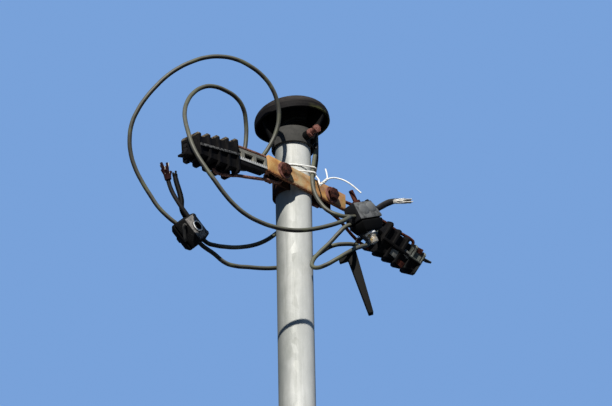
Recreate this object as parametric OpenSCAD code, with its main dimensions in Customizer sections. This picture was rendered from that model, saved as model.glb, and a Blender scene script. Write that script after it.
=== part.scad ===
// Steel service post with a mushroom cap, a two-bolt bracket, two wedge tension clamps,
// two tap connectors and the cable loops between them. Millimetres, +Z up,
// origin at the centre of the post's foot.

/* [Post] */
// Outside diameter of the post's tube
post_od = 60.3; // [48.3:0.1:76.1]
// Wall of the post's tube
post_wall = 3.6; // [2.6:0.1:5]
// Length of the post's tube
post_h = 4100; // [3600:10:4600]
// Thickness of the disc welded into the foot
foot_disc_t = 8; // [5:1:15]
// Radius of the cable hole in the foot disc
foot_hole_r = 10.6; // [10.2:0.1:11]

/* [Cap] */
// Outside diameter of the dome
dome_od = 128; // [120:1:150]
// Height of the dome's round part
dome_h = 35; // [30:1:50]
// Height of the straight skirt at the dome's rim
dome_skirt = 5; // [2:1:12]
// Wall of the dome
dome_wall = 3.5; // [2:0.5:6]
// Lean of the dome, its right side up
dome_lean = 7; // [0:1:8]
// Height of the dome's rim above the top of the collar
dome_rise = 20; // [16:1:26]
// Height of the collar
collar_h = 30; // [24:1:36]
// Wall of the collar
collar_wall = 2.2; // [1.5:0.1:3.5]
// Clear space between the collar and the post
collar_gap = 3.5; // [2:0.1:4]
// How far the collar stands above the post's end
collar_over = 7; // [5:1:10]
// Thickness of the three ribs that carry the dome
rib_t = 5; // [3:0.5:8]
// Direction of the set screw, from +X round towards +Y
screw_dir = -52; // [-58:1:-46]
// Diameter of the set screw
screw_d = 8; // [6:1:10]
// Length of the set screw from the post to under its head
screw_len = 33; // [30:1:45]
// Width across flats of the set screw's head and lock nut
screw_af = 13; // [11:1:16]

/* [Bracket] */
// Distance of the bracket's middle below the post's end
bracket_drop = 100; // [95:1:110]
// Direction of the bracket's bar, from +X round towards +Y
bracket_dir = 48; // [44:1:52]
// Length of the front plate
plate_len = 190; // [170:1:210]
// Height of the plate and of the rear strap
plate_h = 30; // [24:1:32]
// Thickness of the front plate
plate_t = 5; // [4:0.5:5]
// How far the bracket sits off the post's middle along its bar
bracket_shift = -4; // [-6:0.5:0]
// Distance between the two bolts
bolt_pitch = 116; // [108:1:122]
// Diameter of the bolts
bolt_d = 12; // [10:1:14]
// Width across flats of the bolt heads and nuts
bolt_af = 19; // [17:1:22]
// Outside diameter of the washers
washer_d = 29; // [26:1:32]
// Thickness of the washers
washer_t = 2.5; // [2:0.5:4]
// Thickness of the rear strap
strap_t = 5; // [4:0.5:6]
// Space between the plate and the strap's ears
ear_gap = 14; // [12:0.5:15]
// How far the ears run on past the bolts
ear_over = 20; // [16:1:26]

/* [Clamps] */
// Length of a clamp's body
body_len = 96; // [90:1:104]
// Width of a clamp's body between its ribs
body_w = 34; // [32:1:38]
// Top of the body above the clamp's line at its wide end
body_top = 15.5; // [14:0.5:18]
// Bottom of the body under the clamp's line at its wide end
body_low = 32; // [30:0.5:36]
// How much the top comes down towards the line end
top_drop = 14; // [8:0.5:15]
// How much the bottom comes up towards the line end
low_rise = 4; // [0:0.5:6]
// Number of cross ribs on a body
rib_count = 5; // [4:1:6]
// Thickness of a cross rib
cross_t = 5; // [4:0.5:7]
// How far the cross ribs stand out
cross_out = 7; // [4:0.5:8]
// Wall of a clamp's body
body_wall = 3.5; // [3:0.5:5]
// Height of the wedge
wedge_h = 21; // [18:0.5:22]
// Depth of the wedge from front to back
wedge_w = 17.5; // [15:0.5:17.5]
// Length of the wedge
wedge_len = 143; // [125:1:143]
// Number of windows in the wedge
window_count = 4; // [2:1:5]
// Length of one window in the wedge
window_len = 20; // [14:1:24]
// Diameter of the bail's rod
bail_d = 5.5; // [4.5:0.5:6.5]
// Space between the plate's end and the left clamp's wedge
left_gap = 2; // [1:1:8]
// Space between the plate's end and the right clamp's wedge
right_gap = 34; // [30:1:42]
// Droop of the left clamp under the horizontal
left_droop = 6.6; // [5:0.1:9]
// Droop of the right clamp under the horizontal
right_droop = 15; // [12:0.5:18]
// Turn of the right clamp about its own line
right_roll = 212; // [204:1:218]

/* [Cables] */
// Diameter of the insulated cables
cable_d = 7.2; // [6.4:0.1:7.6]
// Diameter of the tie wire
wire_d = 2.6; // [2:0.1:3.2]
// Diameter of the wedge's retention cord
cord_d = 1.6; // [1.2:0.1:2.2]
// Bend radius of the cables over the post's end
over_bend = 30.5; // [30:0.1:30.8]

/* [Connectors] */
// Length of the left connector along its cables
left_conn_len = 50; // [47:1:56]
// Width of the left connector across its cables
left_conn_w = 40; // [38:1:44]
// Length of the right connector along its cables
right_conn_len = 58; // [54:1:62]
// Width of the right connector across its cables
right_conn_w = 34; // [34:1:38]
// Height of the left connector's upper jaw
left_jaw_top = 22; // [18:1:26]
// Height of the left connector's lower jaw
left_jaw_low = 16; // [14:1:20]
// Height of the right connector's upper jaw
right_jaw_top = 33; // [30:1:36]
// Height of the right connector's lower jaw
right_jaw_low = 18; // [16:1:21]
// Diameter of the right stub in its tape
stub_d = 11; // [9:0.5:11.5]

/* [Spare wedge] */
// Length of the spare wedge
spare_len = 118; // [100:1:130]
// Width of the spare wedge at its top
spare_top_w = 17; // [14:1:22]
// Width of the spare wedge at its tip
spare_tip_w = 8; // [6:1:12]
// Thickness of the spare wedge
spare_t = 12; // [8:1:16]

/* [Hidden] */

$fn = 48;
seat = 0.3;
fit = 0.3;
cable_sides = 10;
cord_sides = 8;

post_r = post_od / 2;
bracket_z = post_h - bracket_drop;
bore_r = post_r - post_wall;
dome_r = dome_od / 2;
collar_top = post_h + collar_over;
collar_low = collar_top - collar_h;
collar_in_r = post_r + collar_gap;
collar_out_r = collar_in_r + collar_wall;
dome_z = collar_top + dome_rise;
screw_z = collar_low + 0.4 * collar_h;
boss_r = screw_d / 2 + 3.2;
boss_end = collar_out_r + 11;
head_t = 5.5;
nut_t = 6.5;

riser_y = cable_d / 2 + fit;
out_x = sqrt(pow(collar_out_r + cable_d / 2 + seat, 2) - pow(riser_y, 2));
riser_x = out_x - 2 * over_bend;

plate_in = post_r + seat;
plate_out = plate_in + plate_t;
ear_front = plate_in - ear_gap;
ear_back = ear_front - strap_t;
bolt_head_t = 7.5;
bolt_nut_t = 10;
bolt_tail = 5;
bail_n = plate_in - ear_gap / 2;
bail_loop_r = 20;
bail_loop_x = bail_loop_r - bail_d / 2 - bolt_d / 2 - seat;
function bail_hook(side) = side < 0 ? 42 : 70;

rib_half = body_w / 2 + 3.5;
line_y = -10;
line_in = [-5, -5 - cable_d - 1];
line_out_top = body_top - top_drop - body_wall - fit - cable_d / 2;
line_out = [line_out_top, line_out_top - cable_d - 0.6];
wedge_y = line_y + cable_d / 2 + fit;
wedge_low = -9;
function wedge_tip(side) = side < 0 ? 66 : 88;
function wedge_back(side) = wedge_tip(side) - wedge_len;
plate_over = plate_len / 2 - bolt_pitch / 2;

// Places below are from the middle of the bracket. A port has its side, Y and Z.
left_conn = [-172, -76, -117];
left_conn_turn = [77, 45, 34];
right_conn = [118, 0, -62];
right_conn_turn = [-6.5, -26.5, 46];
left_ports = [[-1, -11, 0], [-1, 8, 14], [-1, 13, 5.5], [1, 14, 6], [1, 4, 3]];
right_ports = [[-1, -5, 11], [-1, 7.5, 17.5], [-1, 11, 3]];
right_stub_port = [1, -8, 17];
port_deep = 17.5;
jaw_gap = 1;

big_route = [
    [-106, -137, -27], [-91, -121, -24], [-85, -114, -21], [-73, -99, -13], [-63, -88, 1],
    [-53, -81, 17], [-42, -79, 34],
    [-29, -80, 62], [-23, -83, 81], [-22, -88, 100], [-25, -94, 119], [-32, -102, 137],
    [-43, -110, 152], [-58, -118, 164], [-74, -126, 172], [-92, -133, 178], [-112, -139, 179],
    [-131, -144, 177], [-150, -147, 171], [-177, -151, 157], [-202, -152, 139], [-223, -151, 117],
    [-242, -149, 93], [-257, -144, 67], [-264, -140, 48], [-266, -135, 29], [-265, -129, 9],
    [-261, -123, -9], [-249, -115, -36], [-228, -105, -70], [-217, -101, -86], [-203, -96, -100],
    [-194, -94, -104]
];
small_route = [
    [-106, -138, -18], [-92, -122, -15], [-85, -114, -9], [-82, -111, 1], [-78, -110, 24], [-75, -112, 47],
    [-77, -119, 70], [-77, -125, 80], [-81, -131, 89], [-87, -137, 97], [-95, -144, 102],
    [-114, -157, 106], [-124, -164, 107], [-133, -170, 105], [-142, -176, 100], [-150, -181, 93],
    [-163, -190, 76], [-170, -198, 55], [-173, -208, 32], [-169, -222, -1], [-164, -230, -25],
    [-158, -232, -47], [-142, -232, -78], [-123, -228, -107], [-110, -221, -125], [-95, -214, -141],
    [-78, -207, -155], [-58, -199, -164], [-37, -190, -169], [-16, -180, -170], [5, -169, -167],
    [24, -158, -160], [50, -140, -145], [74, -121, -128], [81, -115, -121], [86, -107, -114],
    [89, -98, -107], [90, -68, -89], [93, -37, -72], [96, -28, -67]
];
service_route = [
    [40, -4, 89], [38, -6, 68], [33, -18, 29], [32, -24, 3], [36, -26, -21], [45, -27, -40],
    [55, -28, -53], [69, -28, -61], [79, -25, -63], [85, -20, -62]
];
second_route = [
    [40, 4, 89], [40, 7, 74], [38, 17, 56], [29, 31, 31], [18, 39, 9], [3, 43, -17], [-15, 43, -41],
    [-31, 38, -60], [-52, 28, -80], [-70, 16, -93], [-90, -3, -106], [-111, -34, -122],
    [-124, -49, -127], [-136, -57, -129], [-141, -59, -129], [-145, -61, -127]
];
jumper_route = [
    [-154, -66, -131], [-148, -66, -133], [-130, -58, -147], [-116, -50, -156], [-106, -45, -158],
    [-91, -35, -156], [-73, -20, -150], [-49, 4, -140], [-24, 26, -127], [-8, 34, -122],
    [13, 40, -113], [29, 41, -104], [53, 39, -86], [69, 42, -79], [86, 48, -75], [95, 55, -72],
    [102, 64, -69], [104, 75, -65], [102, 96, -54], [103, 105, -46], [104, 109, -41], [107, 111, -37],
    [115, 113, -28], [125, 115, -23], [130, 118, -23]
];
return_route = [
    [89, -14, -75], [81, -19, -83], [67, -20, -101], [52, -22, -118], [32, -31, -145], [28, -33, -156],
    [28, -35, -161], [31, -37, -165], [42, -41, -166], [58, -46, -161], [72, -45, -152],
    [85, -40, -141], [98, -28, -127], [111, -7, -111], [123, 20, -92], [131, 38, -72], [138, 64, -41],
    [139, 81, -26], [139, 96, -16], [138, 101, -14], [134, 112, -14], [135, 117, -16]
];
stub_long_route = [[-176, -93, -89], [-187, -98, -73], [-200, -103, -48], [-208, -112, -15]];
stub_short_route = [
    [-179, -84, -87], [-182, -87, -79], [-183, -89, -62], [-192, -91, -25], [-194, -92, -15]
];
stub_right_route = [[138, 12, -31], [147, 18, -22], [160, 22, -13], [176, 24, -9], [196, 24, -10]];
tail_route = [
    [45, -27, 10], [51, -27, 9], [58, -27, 12], [66, -28, 13], [78, -31, 8], [91, -32, -4],
    [112, -30, -23]
];
tie_twist = [[44, -29, 6], [50, -30, 7], [56, -30, 12], [56, -29, 20], [54, -28, 28]];
spare_at = [92, -26, -132];
spare_lean = 15;
spare_route = [[98, -15, -82], [96, -20, -98], [94, -24, -115]];

function unit(v) = v / norm(v);
function bolt_at(side) = bracket_shift + side * bolt_pitch / 2;

// Point p turned by the angles a about X, then Y, then Z
function turned(a, p) =
    let (
        u = [p[0], p[1] * cos(a[0]) - p[2] * sin(a[0]), p[1] * sin(a[0]) + p[2] * cos(a[0])],
        v = [u[0] * cos(a[1]) + u[2] * sin(a[1]), u[1], u[2] * cos(a[1]) - u[0] * sin(a[1])]
    )
    [v[0] * cos(a[2]) - v[1] * sin(a[2]), v[0] * sin(a[2]) + v[1] * cos(a[2]), v[2]];

// Places on a clamp: its bolt, its turn, its distance, and a point of its own frame
function clamp_bolt(side) =
    [0, 0, bracket_z] + turned([0, 0, bracket_dir], [bolt_at(side), -bail_n, 0]);
function clamp_turn(side) =
    side < 0 ? [0, left_droop, bracket_dir + 180] : [right_roll, right_droop, bracket_dir];
function clamp_reach(side) = plate_over + (side < 0 ? left_gap : right_gap) - wedge_back(side);
function on_clamp(side, p) =
    clamp_bolt(side) + turned(clamp_turn(side), [clamp_reach(side) + p[0], p[1], p[2]]);
function up(p) = p + [0, 0, bracket_z];
function on_left(p) = up(left_conn) + turned(left_conn_turn, p);
function on_right(p) = up(right_conn) + turned(right_conn_turn, p);

// Heading of a route at one of its points, and the part of u that is square to v
function heading(pts, i) = unit(
    (i > 0 ? unit(pts[i] - pts[i - 1]) : [0, 0, 0])
    + (i < len(pts) - 1 ? unit(pts[i + 1] - pts[i]) : [0, 0, 0]));
function squared(u, v) = unit(u - (u * v) * v);
function side_start(v) = unit(cross(v, abs(v[2]) < 0.9 ? [0, 0, 1] : [1, 0, 0]));

// One side direction for each point of a route, carried along without twist
function carried(pts, i = 0, last = undef) =
    i == len(pts) ? [] :
    let (h = heading(pts, i), s = i == 0 ? side_start(h) : squared(last, h))
    concat([s], carried(pts, i + 1, s));

// Round tube of diameter d along a route
module tube(pts, d, sides = cable_sides) {
    n = len(pts);
    across = carried(pts);
    rings = [
        for (i = [0 : n - 1]) for (k = [0 : sides - 1])
        let (a = 360 * k / sides, h = heading(pts, i))
        pts[i] + d / 2 * (cos(a) * across[i] + sin(a) * cross(h, across[i]))
    ];
    near_end = [[for (k = [0 : sides - 1]) k]];
    far_end = [[for (k = [sides - 1 : -1 : 0]) (n - 1) * sides + k]];
    skin = [
        for (i = [0 : n - 2]) for (k = [0 : sides - 1]) for (half = [0, 1])
        let (a = i * sides + k, b = i * sides + (k + 1) % sides)
        half == 0 ? [a, a + sides, b + sides] : [a, b + sides, b]
    ];
    polyhedron(rings, concat(near_end, far_end, skin));
}

// Hexagon bar of width af, from the origin up
module hex(af, h) {
    cylinder(h = h, r = af / 2 / cos(30), $fn = 6);
}

// Block of length l and width w with its long edges cut, from z0 to z1,
// cut c at the top or at the bottom
module jaw(l, w, z0, z1, c) {
    mid = z0 + (z1 > z0 ? 4 : -4);
    intersection() {
        translate([0, w / 2, 0]) rotate([90, 0, 0]) linear_extrude(w)
            polygon([
                [-l / 2, z0], [l / 2, z0], [l / 2, mid],
                [l / 2 - c, z1], [-l / 2 + c, z1], [-l / 2, mid]
            ]);
        translate([-l / 2, 0, 0]) rotate([90, 0, 90]) linear_extrude(l)
            polygon([
                [-w / 2, z0], [w / 2, z0], [w / 2, mid],
                [w / 2 - c, z1], [-w / 2 + c, z1], [-w / 2, mid]
            ]);
    }
}

// Bolt hole of a connector, and cable holes of diameter d into its ends
module bolt_hole() {
    translate([0, 0, -60]) cylinder(h = 120, r = 4 + fit);
}

module port_holes(l, ports, d) {
    for (p = ports)
        translate([p[0] * (l / 2 + 1), p[1], p[2]]) rotate([0, -90 * p[0], 0])
            cylinder(h = port_deep + 1, r = d / 2 + fit);
}

// Frames: the bracket's X runs along its bar, a clamp's X runs out along its line
module at_bracket() {
    translate([0, 0, bracket_z]) rotate([0, 0, bracket_dir]) children();
}

module at_clamp(side) {
    translate(clamp_bolt(side)) rotate(clamp_turn(side))
        translate([clamp_reach(side), 0, 0]) children();
}

module post_tube() {
    color([0.72, 0.74, 0.73])
    difference() {
        cylinder(h = post_h, r = post_r);
        translate([0, 0, -1]) cylinder(h = post_h + 2, r = bore_r);
    }
}

module foot_disc() {
    color([0.55, 0.56, 0.55])
    difference() {
        cylinder(h = foot_disc_t, r = bore_r - 0.05);
        translate([riser_x, 0, -1]) cylinder(h = foot_disc_t + 2, r = foot_hole_r);
    }
}

// Half outline of the dome's round part
function dome_curve(r, h, steps) =
    [for (i = [0 : steps]) let (a = 90 * i / steps) [r * cos(a), h * pow(sin(a), 0.85)]];

// Room under the dome, less a gap
module dome_room(gap) {
    in_r = dome_r - dome_wall - gap;
    in_h = dome_h - dome_wall - gap;
    translate([0, 0, dome_z]) rotate([0, -dome_lean, 0]) rotate_extrude()
        polygon(concat([[0, -90], [in_r, -90], [in_r, dome_skirt]],
            [for (p = dome_curve(in_r, in_h, 10)) p + [0, dome_skirt]]));
}

module cap_dome() {
    in_r = dome_r - dome_wall;
    inner = dome_curve(in_r, dome_h - dome_wall, 10);
    color([0.14, 0.12, 0.11])
    translate([0, 0, dome_z]) rotate([0, -dome_lean, 0]) rotate_extrude()
        polygon(concat(
            [[in_r, 0], [dome_r, 0]],
            [for (p = dome_curve(dome_r, dome_h, 12)) p + [0, dome_skirt]],
            [for (i = [10 : -1 : 0]) inner[i] + [0, dome_skirt]]));
}

// Screw places: along the set screw's axis, from the post's middle outwards
module at_screw() {
    translate([0, 0, screw_z]) rotate([0, 0, screw_dir]) rotate([0, 90, 0]) children();
}

module cap_collar() {
    foot = post_r + seat;
    color([0.16, 0.14, 0.13])
    difference() {
        union() {
            translate([0, 0, collar_low]) difference() {
                cylinder(h = collar_h, r = collar_out_r);
                translate([0, 0, -1]) cylinder(h = collar_h + 2, r = collar_in_r);
            }
            intersection() {
                for (a = [90, 210, 330])
                    rotate([0, 0, a]) translate([0, rib_t / 2, 0]) rotate([90, 0, 0])
                        linear_extrude(rib_t) polygon([
                            [foot, collar_low], [collar_out_r + 2, collar_low],
                            [dome_r - 12, collar_top], [dome_r, dome_z + 8],
                            [dome_r, dome_z + dome_h], [collar_in_r, dome_z + dome_h],
                            [collar_in_r - 8, collar_top + 4], [bore_r + 0.5, collar_top],
                            [bore_r + 0.5, post_h + seat], [foot, post_h + seat]
                        ]);
                dome_room(seat);
            }
            at_screw() translate([0, 0, collar_in_r + 0.5])
                cylinder(h = boss_end - collar_in_r - 0.5, r = boss_r);
        }
        at_screw() translate([0, 0, post_r]) cylinder(h = 30, r = screw_d / 2 + fit);
    }
}

module cap_screw() {
    color([0.42, 0.24, 0.15])
    at_screw() {
        translate([0, 0, post_r + seat]) cylinder(h = screw_len, r = screw_d / 2);
        translate([0, 0, post_r + seat + screw_len]) hex(screw_af, head_t);
    }
}

module cap_nut() {
    color([0.45, 0.27, 0.17])
    at_screw() translate([0, 0, boss_end]) difference() {
        hex(screw_af, nut_t);
        translate([0, 0, -1]) cylinder(h = nut_t + 2, r = screw_d / 2 + fit);
    }
}

module bracket_plate() {
    color([0.80, 0.56, 0.30])
    at_bracket() difference() {
        translate([bracket_shift - plate_len / 2, -plate_out, -plate_h / 2])
            cube([plate_len, plate_t, plate_h]);
        for (s = [-1, 1])
            translate([bolt_at(s), 0, 0]) rotate([90, 0, 0])
                cylinder(h = plate_out + 1, r = bolt_d / 2 + fit);
    }
}

module bracket_strap() {
    in_r = post_r + seat;
    out_r = in_r + strap_t;
    end = bolt_pitch / 2 + ear_over;
    color([0.20, 0.15, 0.12])
    at_bracket() difference() {
        translate([0, 0, -plate_h / 2]) linear_extrude(plate_h) difference() {
            union() {
                difference() {
                    circle(r = out_r);
                    translate([-out_r, -2 * out_r - ear_front]) square(2 * out_r);
                }
                translate([bracket_shift - end, -ear_front])
                    square([2 * end, strap_t]);
            }
            circle(r = in_r);
        }
        for (s = [-1, 1])
            translate([bolt_at(s), 0, 0]) rotate([90, 0, 0])
                cylinder(h = 3 * ear_gap, r = bolt_d / 2 + fit);
    }
}

// Bolt through the bracket: washer and head in front, shank to behind the nut
module bracket_bolt(side) {
    shank = plate_out - ear_back + washer_t + bolt_nut_t + bolt_tail;
    color([0.40, 0.19, 0.12])
    at_bracket() translate([bolt_at(side), -plate_out, 0]) rotate([90, 0, 0]) {
        cylinder(h = washer_t, r = washer_d / 2);
        translate([0, 0, washer_t]) hex(bolt_af, bolt_head_t);
        translate([0, 0, -shank]) cylinder(h = shank, r = bolt_d / 2);
    }
}

module bracket_nut(side) {
    color([0.36, 0.19, 0.13])
    at_bracket() translate([bolt_at(side), -ear_back, 0]) rotate([-90, 0, 0]) difference() {
        union() {
            cylinder(h = washer_t, r = washer_d / 2);
            translate([0, 0, washer_t]) hex(bolt_af, bolt_nut_t);
        }
        translate([0, 0, -1]) cylinder(h = bolt_nut_t + washer_t + 2, r = bolt_d / 2 + fit);
    }
}

// Upper and lower face of a clamp's body, x from its wide end
function roof(x) = body_top - top_drop * x / body_len;
function floor_z(x) = -body_low + low_rise * x / body_len;

// Upright slab of a clamp with the outline pts in X and Z, from y0 to y1
module slab(y0, y1, pts) {
    translate([0, y1, 0]) rotate([90, 0, 0]) linear_extrude(y1 - y0) polygon(pts);
}

module clamp_body(side) {
    step = (body_len - 8) / (rib_count - 1);
    line_lo = line_in[1] - cable_d / 2 - fit;
    line_lo_out = line_out[1] - cable_d / 2 - fit;
    color([0.10, 0.10, 0.10])
    at_clamp(side) difference() {
        union() {
            slab(-body_w / 2, body_w / 2, [
                [0, floor_z(0)], [body_len, floor_z(body_len)],
                [body_len, roof(body_len)], [0, roof(0)]
            ]);
            for (i = [0 : rib_count - 1]) {
                x = 3 + i * step;
                up = roof(x) + cross_out;
                low = floor_z(x) - cross_out;
                translate([x - cross_t / 2, 0, 0]) rotate([90, 0, 90]) linear_extrude(cross_t)
                    polygon([
                        [-rib_half, low + 4], [-rib_half + 4, low], [rib_half - 4, low],
                        [rib_half, low + 4], [rib_half, up - 3], [rib_half - 3, up],
                        [-rib_half + 3, up], [-rib_half, up - 3]
                    ]);
            }
            slab(-body_w / 2 - 5, body_w / 2 + 5, [
                [1, roof(0) - 25], [body_len - 3, roof(body_len) - 18],
                [body_len - 3, roof(body_len) - 13.5], [1, roof(0) - 20.5]
            ]);
            slab(-8, 8, [
                [body_len - 1, -27], [body_len + 22, -30],
                [body_len + 22, -34], [body_len - 6, floor_z(body_len) - 1]
            ]);
        }
        slab(line_y - cable_d / 2 - fit, wedge_y + 0.01, [
            [-1, line_lo], [body_len + 30, line_lo_out],
            [body_len + 30, roof(body_len) - body_wall], [-1, line_in[0] + cable_d / 2 + fit]
        ]);
        slab(wedge_y, wedge_y + wedge_w + fit, [
            [-1, wedge_low - fit], [wedge_tip(side) + 2, wedge_low - fit],
            [wedge_tip(side) + 2, roof(wedge_tip(side) + 2) - body_wall],
            [-1, roof(-1) - body_wall]
        ]);
        slab(-bail_d / 2 - fit, bail_d / 2 + fit, [
            [-1, -60], [bail_hook(side) + 5, -60], [bail_hook(side) + 5, -27], [-1, -27]
        ]);
    }
}

module clamp_wedge(side) {
    tip = wedge_tip(side);
    back = wedge_back(side);
    high = wedge_low + wedge_h - 0.3;
    pitch = window_len + 8;
    color([0.62, 0.63, 0.62])
    at_clamp(side) difference() {
        slab(wedge_y, wedge_y + wedge_w, [
            [back, wedge_low], [tip, wedge_low],
            [tip, roof(tip) - body_wall - fit], [0, roof(0) - body_wall - fit],
            [back, min(high, roof(0) - body_wall - fit)]
        ]);
        for (i = [0 : window_count - 1])
            translate([back + 6 + i * pitch, wedge_y - 1, -3])
                cube([window_len, wedge_w + 2, i < 3 ? 9 : 4]);
    }
}

// The rod's loop stands square to the bolt; from there it takes up the body's turn
function bail_twist(side, x) =
    side < 0 ? 0 : (180 - right_roll) * (1 - min(1, max(0, (x - 45) / 55)));

// Rod from the bolt's loop along both sides of the body: one end meets the first rib,
// the other hooks up into the groove of the floor
module clamp_bail(side) {
    r = clamp_reach(side);
    hook = r + bail_hook(side);
    pts = concat(
        [[r + 3 - cross_t / 2 - seat, 0, 19.4], [r - 8, 0, 19.5], [r - 22, 0, 21],
         [(r + 40) / 2, 0, 21.4], [60, 0, 21.2], [42, 0, 21], [28, 0, 20.6]],
        [for (i = [0 : 8]) let (a = 90 + 180 * i / 8)
            [bail_loop_x + bail_loop_r * cos(a), 0, bail_loop_r * sin(a)]],
        [[28, 0, -20.3], [42, 0, -22.7], [60, 0, -26], [80, 0, -29.5], [r - 12, 0, -33.5], [hook - 41, 0, -37],
         [hook - 6, 0, -42], [hook - 1, 0, -41], [hook + 1, 0, -37], [hook + 1, 0, -27 - seat]]
    );
    color([0.50, 0.25, 0.16])
    translate(clamp_bolt(side)) rotate(clamp_turn(side))
        tube([for (p = pts) turned([bail_twist(side, p[0]), 0, 0], p)], bail_d, cord_sides);
}

// The two gripped conductors, flush with both ends of the body
module line_ends(side) {
    color([0.12, 0.12, 0.11])
    at_clamp(side) for (i = [0, 1])
        translate([0, line_y, line_in[i]])
            rotate([0, 90 + atan2(line_in[i] - line_out[i], body_len), 0])
                cylinder(h = body_len, r = cable_d / 2);
}

module left_connector_top() {
    color([0.52, 0.52, 0.51])
    translate(up(left_conn)) rotate(left_conn_turn) difference() {
        union() {
            jaw(left_conn_len, left_conn_w, jaw_gap, left_jaw_top, 4);
            cylinder(h = left_jaw_top + 2, r = 9.5);
        }
        bolt_hole();
        port_holes(left_conn_len, left_ports, cable_d);
        translate([0, 0, left_jaw_top - 8]) cylinder(h = 20, r = 7.6);
    }
}

module left_connector_low() {
    color([0.09, 0.09, 0.09])
    translate(up(left_conn)) rotate(left_conn_turn) difference() {
        jaw(left_conn_len, left_conn_w, -jaw_gap, -left_jaw_low, 7);
        bolt_hole();
        port_holes(left_conn_len, left_ports, cable_d);
    }
}

module left_connector_bolt() {
    color([0.30, 0.27, 0.24])
    translate(up(left_conn)) rotate(left_conn_turn) {
        translate([0, 0, -left_jaw_low - 8]) cylinder(h = left_jaw_low + left_jaw_top, r = 4);
        translate([0, 0, left_jaw_top - 8]) hex(11, 6);
        translate([0, 0, -left_jaw_low - 6.5]) hex(13, 6.5);
    }
}

module right_connector_top() {
    color([0.50, 0.50, 0.50])
    translate(up(right_conn)) rotate(right_conn_turn) difference() {
        jaw(right_conn_len, right_conn_w, jaw_gap, right_jaw_top, 5);
        bolt_hole();
        port_holes(right_conn_len, right_ports, cable_d);
        port_holes(right_conn_len, [right_stub_port], stub_d);
    }
}

module right_connector_low() {
    color([0.08, 0.08, 0.08])
    translate(up(right_conn)) rotate(right_conn_turn) difference() {
        jaw(right_conn_len - 4, right_conn_w - 2, -jaw_gap, -right_jaw_low, 5);
        bolt_hole();
        port_holes(right_conn_len, right_ports, cable_d);
    }
}

module right_connector_bolt() {
    color([0.55, 0.42, 0.28])
    translate(up(right_conn)) rotate(right_conn_turn) {
        translate([0, 0, -right_jaw_low - 20]) cylinder(h = right_jaw_low + right_jaw_top + 46, r = 4);
        translate([0, 0, right_jaw_top]) hex(13, 6);
        translate([0, 0, -right_jaw_low - 2.5]) cylinder(h = 2.5, r = 8.5);
        translate([0, 0, -right_jaw_low - 10]) hex(13, 7.5);
        translate([0, 0, -right_jaw_low - 20]) hex(13, 8);
    }
}

// Cable inside the post, over its end and down outside the collar
module riser(y) {
    mid = riser_x + over_bend;
    color([0.11, 0.11, 0.10])
    tube(concat([[riser_x, y, 0], [riser_x, y, post_h / 2]],
        [for (i = [0 : 12]) let (a = 180 - 15 * i)
            [mid + over_bend * cos(a), y, collar_top + over_bend * sin(a)]]), cable_d);
}

module cable(pts) {
    color([0.13, 0.13, 0.12]) tube(pts, cable_d);
}

// Point of a falling route at height z
function beside(pts, z, i = 0) =
    z < pts[i + 1][2] ? beside(pts, z, i + 1) :
    pts[i] + (pts[i][2] - z) / (pts[i][2] - pts[i + 1][2]) * (pts[i + 1] - pts[i]);

// Belt round the post and the service cable beside it, from height z down by drop
function belt(z, drop) =
    let (
        at = beside(service_route, z - drop + 1),
        c = [at[0], at[1]],
        big = post_r + seat + wire_d / 2,
        small = cable_d / 2 + seat + wire_d / 2,
        dir = atan2(c[1], c[0]),
        lap = acos((big - small) / norm(c)),
        n = 14
    )
    concat(
        [for (i = [0 : n]) let (a = dir + lap + (360 - 2 * lap) * i / n)
            [big * cos(a), big * sin(a), bracket_z + z - drop * i / (n + 5)]],
        [for (i = [0 : 4]) let (a = dir - lap + 2 * lap * i / 4)
            up([c[0] + small * cos(a), c[1] + small * sin(a), z - drop * (n + 1 + i) / (n + 5)])]
    );

module tie_wire() {
    color([0.86, 0.86, 0.84])
    tube(concat(belt(40, 10), belt(29, 10), placed(tie_twist)), wire_d, cord_sides);
}

module tie_tail() {
    color([0.86, 0.86, 0.84]) tube(placed(tail_route), wire_d, cord_sides);
}

// Spare wedge that hangs by its cord, its head up
module spare_wedge() {
    color([0.16, 0.15, 0.14])
    translate(up(spare_at)) rotate([0, -spare_lean, 0]) union() {
        slab(-spare_t / 2, spare_t / 2, [
            [-spare_top_w / 2, 0], [spare_top_w / 2, 0],
            [spare_tip_w / 2, -spare_len], [-spare_tip_w / 2, -spare_len]
        ]);
        slab(-spare_t / 2 + 2, spare_t / 2 - 2, [
            [-spare_top_w / 2 - 14, -8], [-spare_top_w / 2 + 1, -3],
            [-spare_top_w / 2 + 2, -14], [-spare_top_w / 2 - 14, -15]
        ]);
    }
}

module spare_cord() {
    color([0.10, 0.10, 0.10])
    tube(led(spare_route, on_right([-20, 9, -right_jaw_low - 0.4]), up(spare_at) + [0, 0, 0.4]),
        cord_d, cord_sides);
}

// Points of a route in place, and the same with its two ends led to a and b
function placed(pts) = [for (p = pts) up(p)];
function led(pts, a, b) =
    let (n = len(pts) - 1, da = a - up(pts[0]), db = b - up(pts[n]))
    [for (i = [0 : n]) up(pts[i]) + (1 - i / n) * da + (i / n) * db];

// Straight ends of the routes: the clamp's mouth, and k of a port's way out of its connector
function mouth(side, i, x) = on_clamp(side, [x, line_y, line_in[i]]);
function in_left(i, k) = let (p = left_ports[i]) on_left([k * p[0] * left_conn_len / 2, p[1], p[2]]);
function in_right(p, k) = on_right([k * p[0] * right_conn_len / 2, p[1], p[2]]);
function from_cap(y, z) = [out_x, y, z];

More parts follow.
